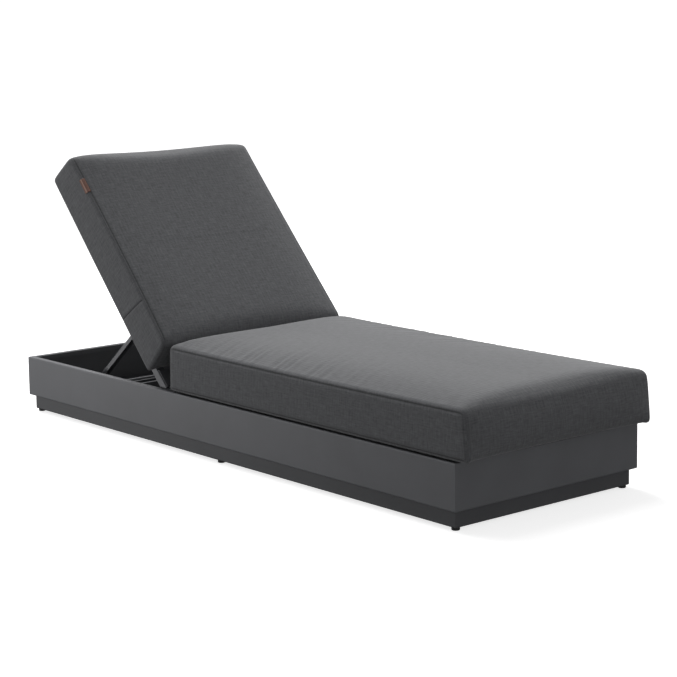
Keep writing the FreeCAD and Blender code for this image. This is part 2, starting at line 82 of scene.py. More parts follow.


# %% [markdown]
# ## Helpers for materials
# Colours are given as sRGB hex values, as on screen, but the shader works in linear light, so
# one function converts them. A node tree can be drawn by hand in the editor. In code it grows
# long, so the next function adds a node with its settings, its socket values and its links in
# one call. The last two start a material and give a colour ramp its stops.

# %% Colour and node helpers
def colour(hex_value):
    """Linear RGBA of an sRGB hex value, by the sRGB curve."""
    channels = [int(hex_value[i:i + 2], 16) / 255 for i in (0, 2, 4)]
    linear = [c / 12.92 if c <= 0.04045 else ((c + 0.055) / 1.055) ** 2.4 for c in channels]
    return (*linear, 1.0)


def add_node(material, kind, values=None, links=None, **settings):
    """Add one node: values fill its sockets, links bring other nodes' outputs to them."""
    made = material.node_tree.nodes.new(kind)
    for name, value in settings.items():
        setattr(made, name, value)
    for socket, value in (values or {}).items():
        made.inputs[socket].default_value = value
    for socket, output in (links or {}).items():
        material.node_tree.links.new(output, made.inputs[socket])
    return made


def new_material(name, **surface):
    """A material with one Principled shader whose plain sockets are set by name."""
    material = bpy.data.materials.new(name)
    material.use_nodes = True
    shader = material.node_tree.nodes["Principled BSDF"]
    for socket, value in surface.items():
        shader.inputs[socket.replace("_", " ")].default_value = value
    return material, shader


def set_stops(ramp_node, *stops):
    """Give a colour ramp its stops: pairs of a place and a colour, from first to last."""
    elements = ramp_node.color_ramp.elements
    elements[0].position, elements[0].color = stops[0]
    elements[1].position, elements[1].color = stops[-1]
    for place, tint in stops[1:-1]:
        elements.new(place).color = tint


print("mid grey on screen, 808080, is", round(colour("808080")[0], 3), "in linear light")

# %% [markdown]
# ## Powder coat
# The box and the frame are aluminium with an anthracite powder coat: a dry paint that melts
# in an oven into a matt film with a fine grain, like very fine orange peel. The eye sees an
# even mid grey with a soft broad highlight. One flat grey would do from afar, but a panel two
# metres long then looks like plastic. So two noises carry it: a fine one for the grain of the
# film, and a large faint one for the slight unevenness of a big sheet. It is a dielectric and
# not a metal, because the paint covers the aluminium.

# %% Powder coat
CLOUD = 160 * MM
FILM_GRAIN = 1.6 * MM
GRAIN_SHARE = 0.35
COAT_STOPS = (0.3, 0.7)


def powder_coat(name, light, dark, roughness=0.5):
    """Matt powder coat between two near colours, with the grain of the melted film."""
    material, shader = new_material(name, Roughness=roughness, IOR=1.5)
    place = add_node(material, "ShaderNodeTexCoord").outputs["Object"]
    cloudy = add_node(material, "ShaderNodeTexNoise", {"Scale": 1 / CLOUD, "Detail": 3.0},
                      {"Vector": place})
    grain = add_node(material, "ShaderNodeTexNoise", {"Scale": 1 / FILM_GRAIN, "Detail": 2.0},
                     {"Vector": place})
    grainy = add_node(material, "ShaderNodeMath", {1: GRAIN_SHARE}, {0: grain.outputs["Fac"]},
                      operation="MULTIPLY")
    both = add_node(material, "ShaderNodeMath", {1: 1 - GRAIN_SHARE},
                    {0: cloudy.outputs["Fac"], 2: grainy.outputs[0]}, operation="MULTIPLY_ADD")
    tone = add_node(material, "ShaderNodeValToRGB", links={"Fac": both.outputs[0]})
    set_stops(tone, (COAT_STOPS[0], colour(dark)), (COAT_STOPS[1], colour(light)))
    film = add_node(material, "ShaderNodeBump", {"Strength": 0.35, "Distance": 0.12 * MM},
                    {"Height": grain.outputs["Fac"]})
    rough = add_node(material, "ShaderNodeMapRange",
                     {"To Min": roughness - 0.05, "To Max": roughness + 0.07},
                     {"Value": grain.outputs["Fac"]})
    links = material.node_tree.links
    links.new(tone.outputs["Color"], shader.inputs["Base Color"])
    links.new(film.outputs["Normal"], shader.inputs["Normal"])
    links.new(rough.outputs["Result"], shader.inputs["Roughness"])
    return material


box_coat = powder_coat("powder_coated_aluminium_sheet", "66676b", "5d5e61")
# The plinth's darker coat is painted shade, for the shade under the overhang of the panels.
plinth_painted_shade_coat = powder_coat("powder_coated_plinth_painted_shade", "4a4b4e", "424346")
frame_coat = powder_coat("powder_coated_aluminium_tube", "5c5d61", "535457", roughness=0.46)
print("powder coats:", box_coat.name, plinth_painted_shade_coat.name, frame_coat.name)

# %% [markdown]
# ## Nylon and rubber
# Glides, end caps, bushes and sleeves are moulded nylon: nearly black, with the faint mottle
# of a spark-eroded mould. The buffers are rubber, blacker and duller. Both come out of a
# mould, so they share one function: a plain dark colour, and one noise that feeds both the
# bump and the roughness, because in a mould the two go together. The real mottle is a tenth
# of a millimetre across, so it is drawn at about a millimetre, as coarse as it needs to show.

# %% Moulded finishes
def moulded(name, hex_value, roughness, mottle):
    """A moulded plastic or rubber with a fine mottle from the mould."""
    material, shader = new_material(name, Roughness=roughness, IOR=1.52,
                                    Base_Color=colour(hex_value))
    place = add_node(material, "ShaderNodeTexCoord").outputs["Object"]
    spots = add_node(material, "ShaderNodeTexNoise", {"Scale": 1 / mottle, "Detail": 3.0},
                     {"Vector": place})
    skin = add_node(material, "ShaderNodeBump", {"Strength": 0.4, "Distance": 0.1 * MM},
                    {"Height": spots.outputs["Fac"]})
    rough = add_node(material, "ShaderNodeMapRange",
                     {"To Min": roughness - 0.08, "To Max": roughness + 0.08},
                     {"Value": spots.outputs["Fac"]})
    material.node_tree.links.new(skin.outputs["Normal"], shader.inputs["Normal"])
    material.node_tree.links.new(rough.outputs["Result"], shader.inputs["Roughness"])
    return material


black_nylon = moulded("moulded_black_nylon", "1c1c1d", roughness=0.5, mottle=1.2 * MM)
black_rubber = moulded("moulded_black_rubber", "161616", roughness=0.75, mottle=0.8 * MM)
print("moulded finishes:", black_nylon.name, black_rubber.name)

# %% [markdown]
# ## Stainless steel
# Pins, ratchets, bolts and rivets are turned or pressed stainless steel with a dull brushing.
# A metal has no colour of its own under the reflection, so its base colour is the tint of
# what it mirrors. Brushing could be an anisotropic shader. On pieces this small a noise that
# is stretched along X shows the scratches just as well.
# They are drawn half a millimetre wide, coarser than real ones, so that they show.

# %% Brushed stainless steel
SCRATCH = 0.5 * MM
BRUSH_STRETCH = 0.06


def brushed_steel(name):
    """Stainless steel, brushed along X."""
    material, shader = new_material(name, Metallic=1.0, Roughness=0.34)
    place = add_node(material, "ShaderNodeTexCoord").outputs["Object"]
    along = add_node(material, "ShaderNodeMapping", {"Scale": (BRUSH_STRETCH, 1.0, 1.0)},
                     {"Vector": place})
    scratches = add_node(material, "ShaderNodeTexNoise", {"Scale": 1 / SCRATCH, "Detail": 2.0},
                         {"Vector": along.outputs["Vector"]})
    tone = add_node(material, "ShaderNodeValToRGB", links={"Fac": scratches.outputs["Fac"]})
    set_stops(tone, (0.0, colour("9a9b9c")), (1.0, colour("c4c5c6")))
    brushing = add_node(material, "ShaderNodeBump", {"Strength": 0.25, "Distance": 0.03 * MM},
                        {"Height": scratches.outputs["Fac"]})
    material.node_tree.links.new(tone.outputs["Color"], shader.inputs["Base Color"])
    material.node_tree.links.new(brushing.outputs["Normal"], shader.inputs["Normal"])
    return material


steel = brushed_steel("brushed_stainless_steel")
print("metal finish:", steel.name)

# %% [markdown]
# ## Charcoal weave
# The covers are a charcoal melange: light and dark yarns twisted together before weaving.
# From a step away the eye sees soft short streaks along both thread directions. The yarns
# are under a millimetre thick, too fine for this picture, so they are drawn at 3.4 mm.
# Streaks are noise stretched along each thread, and the over and under of the weave is two
# wave patterns in the bump, whose repeat is two yarns over and two under. They read the
# cover's own UV map, which runs in metres over each sewn panel, so the threads turn with the
# cloth. Noise on Object coordinates would be simpler, but it cuts through the cloth like
# grain through a block of wood.

# %% Charcoal weave
YARN = 3.4 * MM
STREAK = 30 * MM
MELANGE_STOPS = (0.34, 0.66)


def thread_streaks(material, place):
    """Noise stretched along both thread directions, added up and halved."""
    streaks = []
    for scale in ((1 / STREAK, 1 / YARN, 1.0), (1 / YARN, 1 / STREAK, 1.0)):
        stretched = add_node(material, "ShaderNodeMapping", {"Scale": scale}, {"Vector": place})
        noise = add_node(material, "ShaderNodeTexNoise",
                         {"Scale": 1.0, "Detail": 3.0, "Roughness": 0.6},
                         {"Vector": stretched.outputs["Vector"]})
        streaks.append(noise.outputs["Fac"])
    both = add_node(material, "ShaderNodeMath", links={0: streaks[0], 1: streaks[1]},
                    operation="ADD")
    return add_node(material, "ShaderNodeMath", {1: 0.5}, {0: both.outputs[0]},
                    operation="MULTIPLY").outputs[0]


def weave_height(material, place, yarn):
    """The over and under of two thread directions, as one height."""
    # A band wave repeats every 2 pi / (20 * Scale), which is four yarns here.
    waves = [add_node(material, "ShaderNodeTexWave",
                      {"Scale": 1 / (4 * math.pi * yarn), "Distortion": 0.6},
                      {"Vector": place}, bands_direction=direction).outputs["Fac"]
             for direction in ("X", "Y")]
    return add_node(material, "ShaderNodeMath", links={0: waves[0], 1: waves[1]},
                    operation="MULTIPLY").outputs[0]


def melange(name, light, dark, seam_shade_colour):
    """A melange weave on a UV map in metres, with painted shade where the seam attribute says."""
    material, shader = new_material(name, Roughness=0.92, IOR=1.45, Sheen_Weight=0.26,
                                    Sheen_Roughness=0.45)
    place = add_node(material, "ShaderNodeUVMap", uv_map="panels").outputs["UV"]
    streaks = thread_streaks(material, place)
    tone = add_node(material, "ShaderNodeValToRGB", links={"Fac": streaks})
    set_stops(tone, (MELANGE_STOPS[0], colour(dark)), (MELANGE_STOPS[1], colour(light)))
    # Painted shade: the seam attribute darkens the colour where the stitches sink out of the light.
    seam = add_node(material, "ShaderNodeAttribute", attribute_name="seam_shade")
    shaded = add_node(material, "ShaderNodeMixRGB", {"Color2": colour(seam_shade_colour)},
                      {"Fac": seam.outputs["Fac"], "Color1": tone.outputs["Color"]})
    height = add_node(material, "ShaderNodeMath",
                      links={0: weave_height(material, place, YARN), 1: streaks},
                      operation="ADD")
    bump = add_node(material, "ShaderNodeBump", {"Strength": 0.45, "Distance": 0.5 * MM},
                    {"Height": height.outputs[0]})
    material.node_tree.links.new(shaded.outputs["Color"], shader.inputs["Base Color"])
    material.node_tree.links.new(bump.outputs["Normal"], shader.inputs["Normal"])
    return material


# The last colour is the painted shade along the seams.
charcoal = melange("charcoal_melange_weave", "67686b", "4b4c4e", "262627")
print("cushion cloth:", charcoal.name)

# %% [markdown]
# ## Ribbon
# The small tag is a folded ribbon, sewn into the seam of the back cushion: rust brown, with
# one paler stripe woven along it. A ribbed satin ribbon like this has fine ribs across its
# length, two or more to a millimetre. Here a rib and the valley beside it are each 1.2 mm
# wide, as coarse as they need to show. The stripe could be a second strip of faces. A colour
# ramp across the ribbon's width keeps it one piece, and its edges soft as in a weave.

# %% Ribbon weave
RIB = 1.2 * MM
STRIPE_SHARES = (0.24, 0.30, 0.44, 0.50)


def ribbon_weave(name, ground, stripe):
    """A ribbed ribbon with a stripe; the UV map runs 0 to 1 across it and metres along."""
    material, shader = new_material(name, Roughness=0.6, IOR=1.5, Sheen_Weight=0.2)
    place = add_node(material, "ShaderNodeUVMap", uv_map="panels").outputs["UV"]
    parts = add_node(material, "ShaderNodeSeparateXYZ", links={0: place})
    tone = add_node(material, "ShaderNodeValToRGB", links={"Fac": parts.outputs["X"]})
    tints = [colour(tint) for tint in (ground, stripe, stripe, ground)]
    set_stops(tone, *zip(STRIPE_SHARES, tints))
    # A band wave repeats every 2 pi / (20 * Scale): a rib and its valley.
    ribs = add_node(material, "ShaderNodeTexWave",
                    {"Scale": 1 / (2 * math.pi * RIB), "Distortion": 0.3},
                    {"Vector": place}, bands_direction="Y")
    bump = add_node(material, "ShaderNodeBump", {"Strength": 0.5, "Distance": 0.2 * MM},
                    {"Height": ribs.outputs["Fac"]})
    material.node_tree.links.new(tone.outputs["Color"], shader.inputs["Base Color"])
    material.node_tree.links.new(bump.outputs["Normal"], shader.inputs["Normal"])
    return material


rust_ribbon = ribbon_weave("rust_woven_ribbon", "6f4636", "9c7c6e")
print("tag ribbon:", rust_ribbon.name)

# %% [markdown]
# ## Finishes on the frame
# Every CAD piece names the slot of its finish in the record, so one table and one loop dress
# them all. Setting each piece by hand would miss one sooner or later. The plinth is the same
# aluminium sheet and powder coat as the box. Its coat here is painted a darker grey as painted
# shade, for the shade that falls on the recessed plinth under the overhang of the panels.

# %% Give every CAD node its finish
finishes = {"powder_coat": box_coat, "frame_powder_coat": frame_coat,
            "black_plastic": black_nylon, "stainless_steel": steel,
            "black_rubber": black_rubber, "charcoal_weave": charcoal,
            "tag_fabric": rust_ribbon}
for subpart in frame["record"]["subparts"]:
    finish = finishes[subpart["material_slot"]]
    # The recessed plinth gets the darker coat: painted shade under the overhang of the panels.
    if subpart["node"].startswith("plinth"):
        finish = plinth_painted_shade_coat
    mesh = nodes[subpart["node"]].data
    mesh.materials.clear()
    mesh.materials.append(finish)

# %% [markdown]
# ## The cover of a cushion
# Each cushion is a foam slab in a sewn cover: one long panel wraps over the top, round the
# soft ends and underneath, and a flat side panel closes it left and right. The seams run
# round the side panels. A cube under a Subdivision Surface would be softer at once, but it
# has too few edges for cloth to bend at, and none where the seams lie. So the blank starts
# as a grid, is extruded to its thickness, and its standing edges are cut to the same grid.
# At the two ends the square corners are then turned into arcs.

# %% Select and edit one piece
def clear_selection():
    """Deselect all objects, as an operator acts on everything that is selected."""
    bpy.ops.object.select_all(action="DESELECT")


def pick(piece):
    """Select one piece alone and make it active."""
    clear_selection()
    bpy.context.view_layer.objects.active = piece
    piece.select_set(True)


def start_editing(piece):
    """Open one piece in edit mode with nothing selected in it."""
    pick(piece)
    bpy.ops.object.mode_set(mode="EDIT")
    bpy.ops.mesh.select_all(action="DESELECT")


def select_edges(piece, chosen):
    """Select the edges whose two end points pass the test, leaving edit mode open."""
    start_editing(piece)
    bpy.ops.mesh.select_mode(type="EDGE")
    bpy.ops.object.mode_set(mode="OBJECT")
    for edge in piece.data.edges:
        a, b = (piece.data.vertices[i] for i in edge.vertices)
        edge.select = chosen(a, b)
    bpy.ops.object.mode_set(mode="EDIT")


print("loading left", len(bpy.context.selected_objects), "pieces selected")

# %% A cushion blank
GRID = 12 * MM


def cushion_blank(name, low, high):
    """A closed box on an even grid between two corners."""
    clear_selection()
    size = high - low
    counts = [max(2, round(side / GRID)) for side in size]
    middle = (low + high) / 2
    bpy.ops.mesh.primitive_grid_add(x_subdivisions=counts[0], y_subdivisions=counts[1], size=1,
                                    location=(middle.x, middle.y, low.z))
    piece = bpy.context.active_object
    piece.name = name
    piece.scale = (size.x, size.y, 1)
    bpy.ops.object.transform_apply(location=True, rotation=True, scale=True)
    start_editing(piece)
    bpy.ops.mesh.select_all(action="SELECT")
    bpy.ops.mesh.extrude_region_move(TRANSFORM_OT_translate={"value": (0, 0, size.z)})
    bpy.ops.object.mode_set(mode="OBJECT")
    select_edges(piece, lambda a, b: abs(a.co.z - b.co.z) > size.z / 2)
    bpy.ops.mesh.subdivide(number_cuts=counts[2] - 1)
    bpy.ops.mesh.select_all(action="SELECT")
    bpy.ops.mesh.normals_make_consistent(inside=False)
    bpy.ops.object.mode_set(mode="OBJECT")
    print(name, "blank:", len(piece.data.polygons), "faces on a", counts, "grid")
    return piece


def round_ends(piece, low, high, top_round, base_round):
    """Turn the square corners of the two ends into arcs, above and below."""
    middle = (low + high) / 2
    for vertex in piece.data.vertices:
        p = vertex.co
        end, face = (1 if p[i] > middle[i] else -1 for i in (0, 2))
        radius = top_round if face > 0 else base_round
        along = radius - min(p.x - low.x, high.x - p.x)
        up = radius - min(p.z - low.z, high.z - p.z)
        if along > 0 and up > 0:
            shrink = 1 - max(along, up) / math.hypot(along, up)
            p.x -= end * along * shrink
            p.z -= face * up * shrink
    print(piece.name, "ends rounded to", round(top_round / MM), "mm above")


# %% [markdown]
# ## Threads on the cover
# The weave needs to know where each thread runs. Blender can unwrap a mesh by itself, but
# then the threads turn at every island that it makes. Here the wrapping panel is unrolled:
# across the lounger is one direction, and the way round the slab is the other. A side panel
# simply lies flat, in a stretch of its own. The numbers are metres, so a yarn has the same
# width everywhere.

# %% Unroll the cover
FACING = 0.5
SIDE_PANEL_APART = 3


def lay_threads(piece, low, high):
    """A UV map in metres: the wrap unrolled along the slab, the side panels flat."""
    mesh = piece.data
    uv = mesh.uv_layers.new(name="panels")
    length, height = high.x - low.x, high.z - low.z
    for face in mesh.polygons:
        normal = face.normal
        for corner in face.loop_indices:
            p = mesh.vertices[mesh.loops[corner].vertex_index].co
            if abs(normal.y) > FACING:
                spot = (p.x - low.x, p.z - low.z + SIDE_PANEL_APART * high.y)
            elif normal.z > FACING:
                spot = (p.y, p.x - low.x)
            elif normal.z < -FACING:
                spot = (p.y, 2 * length + height - (p.x - low.x))
            elif normal.x > FACING:
                spot = (p.y, length + high.z - p.z)
            else:
                spot = (p.y, p.z - high.z)
            uv.data[corner].uv = spot
    print(piece.name, "wrap:", round(2 * (length + height), 2), "m of cloth round the slab")


# %% [markdown]
# ## Stuffing
# Foam pushes the cover out from inside. The swell could be sculpted, but a real cover finds
# its shape under pressure, and Blender's cloth can do that. With gravity off, twenty steps
# swell the blank into a crowned pillow. The sewn edges are held, as the foam's own corners
# hold them, and underneath the slats keep the cushion flat. At the ends the travel is capped,
# because foam is cut to length and hardly bulges there.

# %% Stuff a blank with pressure
ON_EDGE = GRID / 20
STUFFING_STEPS = 20


def sewn_points(piece, low, high):
    """Indices of the points round the two side panels of the flat blank."""
    found = []
    for vertex in piece.data.vertices:
        p = vertex.co
        on_side = min(p.y - low.y, high.y - p.y) < ON_EDGE
        on_rim = min(p.x - low.x, high.x - p.x, p.z - low.z, high.z - p.z) < ON_EDGE
        if on_side and on_rim:
            found.append(vertex.index)
    return found


def stuff(piece, sewn, pressure, caps):
    """Swell the cover with cloth pressure between its held seams, and cap the travel."""
    rest = np.array([v.co for v in piece.data.vertices])
    held = piece.vertex_groups.new(name="sewn")
    held.add(sewn, 1.0, "ADD")
    cloth = piece.modifiers.new("stuffing", "CLOTH")
    cloth.settings.use_pressure = True
    cloth.settings.uniform_pressure_force = pressure
    cloth.settings.vertex_group_mass = held.name
    cloth.settings.effector_weights.gravity = 0
    cloth.settings.quality = 6
    cloth.settings.tension_stiffness = 15
    cloth.settings.bending_stiffness = 0.3
    cloth.point_cache.frame_end = STUFFING_STEPS
    for step in range(1, STUFFING_STEPS + 1):
        bpy.context.scene.frame_set(step)
    pick(piece)
    bpy.ops.object.modifier_apply(modifier=cloth.name)
    bpy.context.scene.frame_set(1)
    piece.vertex_groups.clear()
    travel = np.array([v.co for v in piece.data.vertices]) - rest
    print(piece.name, "swelled by up to", (np.abs(travel).max(0) / MM).round(1), "mm")
    caps = np.array(caps)
    travel = caps * np.tanh(travel / caps)
    piece.data.vertices.foreach_set("co", (rest + travel).ravel())
    piece.data.update()


# %% [markdown]
# ## Sewn edges
# Where the panels meet, the foam's corner is soft, and the seam runs beside it: low on the
# side of the seat, but on the front face of the back. A Bevel modifier would round every
# edge alike, so only the edges of the side panels are selected and bevelled, and the seam is
# the loop on one border of that bevel. The side panels of the back are pieced from two
# lengths of cloth: a bisect cuts that join. One level of subdivision then smooths it all.

# %% Round the edges and find the seam
EDGE_ROUND = 9 * MM


def round_edges(piece, sewn, side, seam_on_side):
    """Bevel the edges of the side panels; the seam is its border there or on the wrap."""
    marked = set(sewn)
    select_edges(piece, lambda a, b: a.index in marked and b.index in marked)
    bpy.ops.mesh.bevel(offset=EDGE_ROUND, segments=4, profile=0.5)
    bpy.ops.mesh.region_to_loop()
    bpy.ops.object.mode_set(mode="OBJECT")
    seam = []
    for edge in piece.data.edges:
        a, b = (piece.data.vertices[i].co.copy() for i in edge.vertices)
        on_side = min(abs(a.y), abs(b.y)) > side - EDGE_ROUND / 2
        if edge.select and on_side == seam_on_side:
            seam.append((a, b))
    print(piece.name, "seam runs along", len(seam), "edges")
    return seam


# %% Piece the side panels and smooth the cover
JOIN_STRIP = 2 * MM
PANEL_DEPTH = 1 * MM


def cut_join(piece, top, bottom, side):
    """Cut one join across both side panels, with fine strips beside it."""
    start_editing(piece)
    bpy.ops.mesh.select_mode(type="FACE")
    bpy.ops.object.mode_set(mode="OBJECT")
    for face in piece.data.polygons:
        face.select = abs(face.center.y) > side - PANEL_DEPTH
    bpy.ops.object.mode_set(mode="EDIT")
    along = (top - bottom).normalized()
    bpy.ops.mesh.bisect(plane_co=top, plane_no=(along.z, 0, -along.x))
    bpy.ops.mesh.select_mode(type="EDGE")
    bpy.ops.object.mode_set(mode="OBJECT")
    join = [tuple(piece.data.vertices[i].co.copy() for i in edge.vertices)
            for edge in piece.data.edges if edge.select]
    bpy.ops.object.mode_set(mode="EDIT")
    bpy.ops.mesh.bevel(offset=JOIN_STRIP, segments=2, profile=0.5)
    bpy.ops.object.mode_set(mode="OBJECT")
    print(piece.name, "join runs along", len(join), "edges")
    return join


def smooth_once(piece):
    """One level of subdivision, applied, and smooth shading."""
    pick(piece)
    smooth = piece.modifiers.new("smooth", "SUBSURF")
    smooth.levels = smooth.render_levels = 1
    bpy.ops.object.modifier_apply(modifier=smooth.name)
    bpy.ops.object.shade_smooth()


# %% [markdown]
# ## How the cloth settles
# A cover looks used, and not moulded, where it gives way. Its long top edges sag between the
# corners. Its ends stand up a little between corners that the seams pinch in, and the near
# long edge can bow the other way. Its lower edges hang past the slats where nothing carries
# them, and a loose cushion lies slightly askew. A longer simulation would bring such moves
# by chance. So single points are moved by formulas, and each amount is a size that can be
# read off the photograph.

# %% Sag, rise and droop
SAG_REACH = 90 * MM
END_REACH = 110 * MM
CORNER_SHARE = 0.35
FLAT_ACROSS = 6
BOW_HUG = 4


def settle(piece, low, high, sag, droops, end_rises, end_lean, skew, far_lift, pinch,
           near_bow):
    """Sag the long edges, lift and pinch the ends, and let the lower edges hang."""
    slat_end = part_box("back_slats")[1].y
    for vertex in piece.data.vertices:
        p = vertex.co
        height = min(1, max(0, (p.z - low.z) / (high.z - low.z)))
        share = (p.x - low.x) / (high.x - low.x)
        along = 2 * share - 1
        near_edge = math.exp(-((high.y - min(abs(p.y), high.y)) / SAG_REACH) ** 2)
        p.z -= sag * (1 - along ** 2 - CORNER_SHARE) * near_edge * height
        end = math.exp(-max(0, min(p.x - low.x, high.x - p.x)) / END_REACH)
        across = 1 - min(1, abs(p.y) / high.y) ** FLAT_ACROSS
        end_rise = end_rises[0] if along < 0 else end_rises[1]
        p.z += height * (end_rise * end * across + far_lift * max(0, p.y / high.y))
        p.x -= math.copysign(pinch * height * end * (1 - across), along)
        p.z += near_bow * height * (1 - along ** 2) * max(0, -p.y / high.y) ** BOW_HUG
        if along * end_lean > 0:
            p.x += end_lean * (1 - height) * end
        p.y += skew[0] + (skew[1] - skew[0]) * share
        past = min(1, max(0, (abs(p.y) - slat_end) / (high.y - slat_end)))
        p.z -= (droops[0] + (droops[1] - droops[0]) * share) * past ** 2 * (1 - height)
    lowest = min(vertex.co.z for vertex in piece.data.vertices)
    print(piece.name, "hangs", round((low.z - lowest) / MM, 1), "mm past the slats")


# %% [markdown]
# ## Seams and puckers
# A seam pulls the cloth into a narrow valley with a roll beside it, and folds run off it at a
# slant where the long panel was eased to fit. Both are finer than the cloth grid, so the
# stuffing can't make them, and bump alone would leave the outline smooth. So every point of
# the smoothed cover measures its distance to the seam, and a formula turns that into a
# height. The same distance paints shade into the colour along the seam, for the stitches that
# sink out of the light.

# %% Folds that run off a seam
PUCKER_REACH = 42 * MM
PUCKER_SLANT = 0.46
PUCKER_CENTRE = 0.22
PUCKER_SPREAD = 0.32
PUCKER_LEAST_SHARE = 0.15
NARROW_FOLD, WIDE_FOLD, FOLD_DRIFT = 5.1 * MM, 8.9 * MM, 23 * MM
WIDE_FOLD_SHARE = 0.8
DRIFT_TURN, WIDE_FOLD_TURN = 1.9, 2.0


def pucker(p, distance):
    """Height of the slanted folds that run off a seam, fullest round one stretch of it."""
    phase = p.x + PUCKER_SLANT * distance
    folds = (math.sin(phase / NARROW_FOLD + DRIFT_TURN * math.sin(phase / FOLD_DRIFT))
             + WIDE_FOLD_SHARE * math.sin(phase / WIDE_FOLD + WIDE_FOLD_TURN))
    rise = distance / PUCKER_REACH * math.exp(1 - distance / PUCKER_REACH)
    stretch = math.exp(-((p.x - PUCKER_CENTRE) / PUCKER_SPREAD) ** 2)
    return folds * rise * (PUCKER_LEAST_SHARE + (1 - PUCKER_LEAST_SHARE) * stretch)


print("folds are about", round(2 * math.pi * NARROW_FOLD / MM), "mm from crest to crest")

# %% Press the seams into the cover
SEAM_WIDTH = 2.4 * MM
SEAM_DEPTH = 1.5 * MM
# Painted shade along the seam: how wide and how strong it is.
SEAM_SHADE_WIDTH = 1.9 * MM
SEAM_SHADE_STRENGTH = 0.8
CORNER_SEAM_SHARE = 0.3
CORNER_SEAM_REACH = 16 * MM
ROLL_WIDTH = 9 * MM
ROLL_HEIGHT = 0.5 * MM


def sew(piece, seam, puckers, low, high):
    """Press the seams into the cover, with the roll and the puckers beside them."""
    dense = []
    for a, b in seam:
        steps = max(1, int((b - a).length / (SEAM_WIDTH / 2)))
        dense += [a.lerp(b, k / steps) for k in range(steps)]
    tree = KDTree(len(dense))
    for number, point in enumerate(dense):
        tree.insert(point, number)
    tree.balance()
    mesh = piece.data
    shade = mesh.attributes.new("seam_shade", "FLOAT", "POINT")
    moved = []
    for vertex in mesh.vertices:
        p = vertex.co
        distance = tree.find(p)[2]
        valley = math.exp(-(distance / SEAM_WIDTH) ** 2)
        roll = math.exp(-((distance - ROLL_WIDTH) / ROLL_WIDTH) ** 2)
        to_end = max(0, min(p.x - low.x, high.x - p.x))
        pull = 1 - (1 - CORNER_SEAM_SHARE) * math.exp(-(to_end / CORNER_SEAM_REACH) ** 2)
        lift = pull * (ROLL_HEIGHT * roll - SEAM_DEPTH * valley)
        lift += puckers * pucker(p, distance) * max(0, vertex.normal.z) ** 2
        moved.append(p + vertex.normal * lift)
        # Painted shade in the seam, where the stitches sink out of the light.
        painted_seam_shade = math.exp(-(distance / SEAM_SHADE_WIDTH) ** 2)
        shade.data[vertex.index].value = SEAM_SHADE_STRENGTH * pull * painted_seam_shade
    for vertex, place in zip(mesh.vertices, moved):
        vertex.co = place
    mesh.update()
    print(piece.name, "sewn along", round(sum((b - a).length for a, b in seam), 2), "m of seam")


# %% [markdown]
# ## The two cushions
# The seat cushion lies flat on the slats and stands over the foot end of the box. The back
# cushion is thinner and shorter, and it is made lying flat. Both go through the same steps,
# so one function holds them, and each call below is the list of one cushion's sizes. Its box
# is the CAD solid's, less the crown and the bulges, because the stuffing swells it.

# %% One cushion from its sizes
def make_cushion(name, low, high, pressure, caps, rounds, seam_on_side, sag, droops,
                 end_rises, end_lean, skew=(0, 0), far_lift=0.0, pinch=0.0, near_bow=0.0,
                 join=None, puckers=0.0):
    """A stuffed and sewn cushion in the flat box between two corners."""
    piece = cushion_blank(name, low, high)
    lay_threads(piece, low, high)
    sewn = sewn_points(piece, low, high)
    round_ends(piece, low, high, *rounds)
    stuff(piece, sewn, pressure, caps)
    for vertex in piece.data.vertices:
        vertex.co.z = max(vertex.co.z, low.z)
    seam = round_edges(piece, sewn, high.y, seam_on_side)
    if join:
        seam += cut_join(piece, *join, high.y)
    smooth_once(piece)
    sew(piece, seam, puckers, low, high)
    settle(piece, low, high, sag, droops, end_rises, end_lean, skew, far_lift, pinch, near_bow)
    piece.data.materials.append(charcoal)
    print(name, "has", len(piece.data.polygons), "faces")
    return piece


# %% Make the seat cushion
END_BULGE = 6 * MM
SIDE_BULGE = 5 * MM
SEAT_CROWN = 20 * MM
SEAT_SWELL = 25 * MM
box_side = max(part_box(node)[1].y for node in ("panel_left", "panel_right"))
seat_low, seat_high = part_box("seat_cushion")
seat = make_cushion(
    "seat_cushion_cover",
    Vector((seat_low.x + END_BULGE, -box_side, seat_low.z)),
    Vector((seat_high.x - END_BULGE, box_side, seat_high.z - SEAT_CROWN)),
    pressure=7.0, caps=(END_BULGE, SIDE_BULGE, SEAT_SWELL), rounds=(18 * MM, 12 * MM),
    seam_on_side=True, sag=3 * MM, droops=(5 * MM, 5 * MM), end_rises=(9 * MM, 7 * MM),
    end_lean=10 * MM, far_lift=7 * MM, pinch=4 * MM, puckers=1.1 * MM)
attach(seat, "seat_cushion")
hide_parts("seat_cushion")

# %% Make the back cushion, lying flat
JOIN_TOP, JOIN_BOTTOM = 235 * MM, 260 * MM
BACK_PLUMP = 1.5 * MM
BACK_CROWN = 12 * MM
BACK_SWELL, BACK_END_SWELL = 14 * MM, 8 * MM
back_low, back_high = flat_box("back_cushion")
back_side = box_side + BACK_PLUMP
back_top = back_high.z - BACK_CROWN
back = make_cushion(
    "back_cushion_cover",
    Vector((back_low.x, -back_side, back_low.z)),
    Vector((back_high.x - END_BULGE, back_side, back_top)),
    pressure=4.0, caps=(BACK_END_SWELL, SIDE_BULGE, BACK_SWELL), rounds=(15 * MM, 12 * MM),
    seam_on_side=False, sag=2 * MM, droops=(5.5 * MM, 7.8 * MM), end_rises=(14 * MM, 0),
    end_lean=-5 * MM, skew=(4.5 * MM, -8.5 * MM), far_lift=3 * MM, pinch=11 * MM,
    near_bow=9 * MM, join=(Vector((hinge.x - JOIN_TOP, 0, back_top)),
                           Vector((hinge.x - JOIN_BOTTOM, 0, back_low.z))))

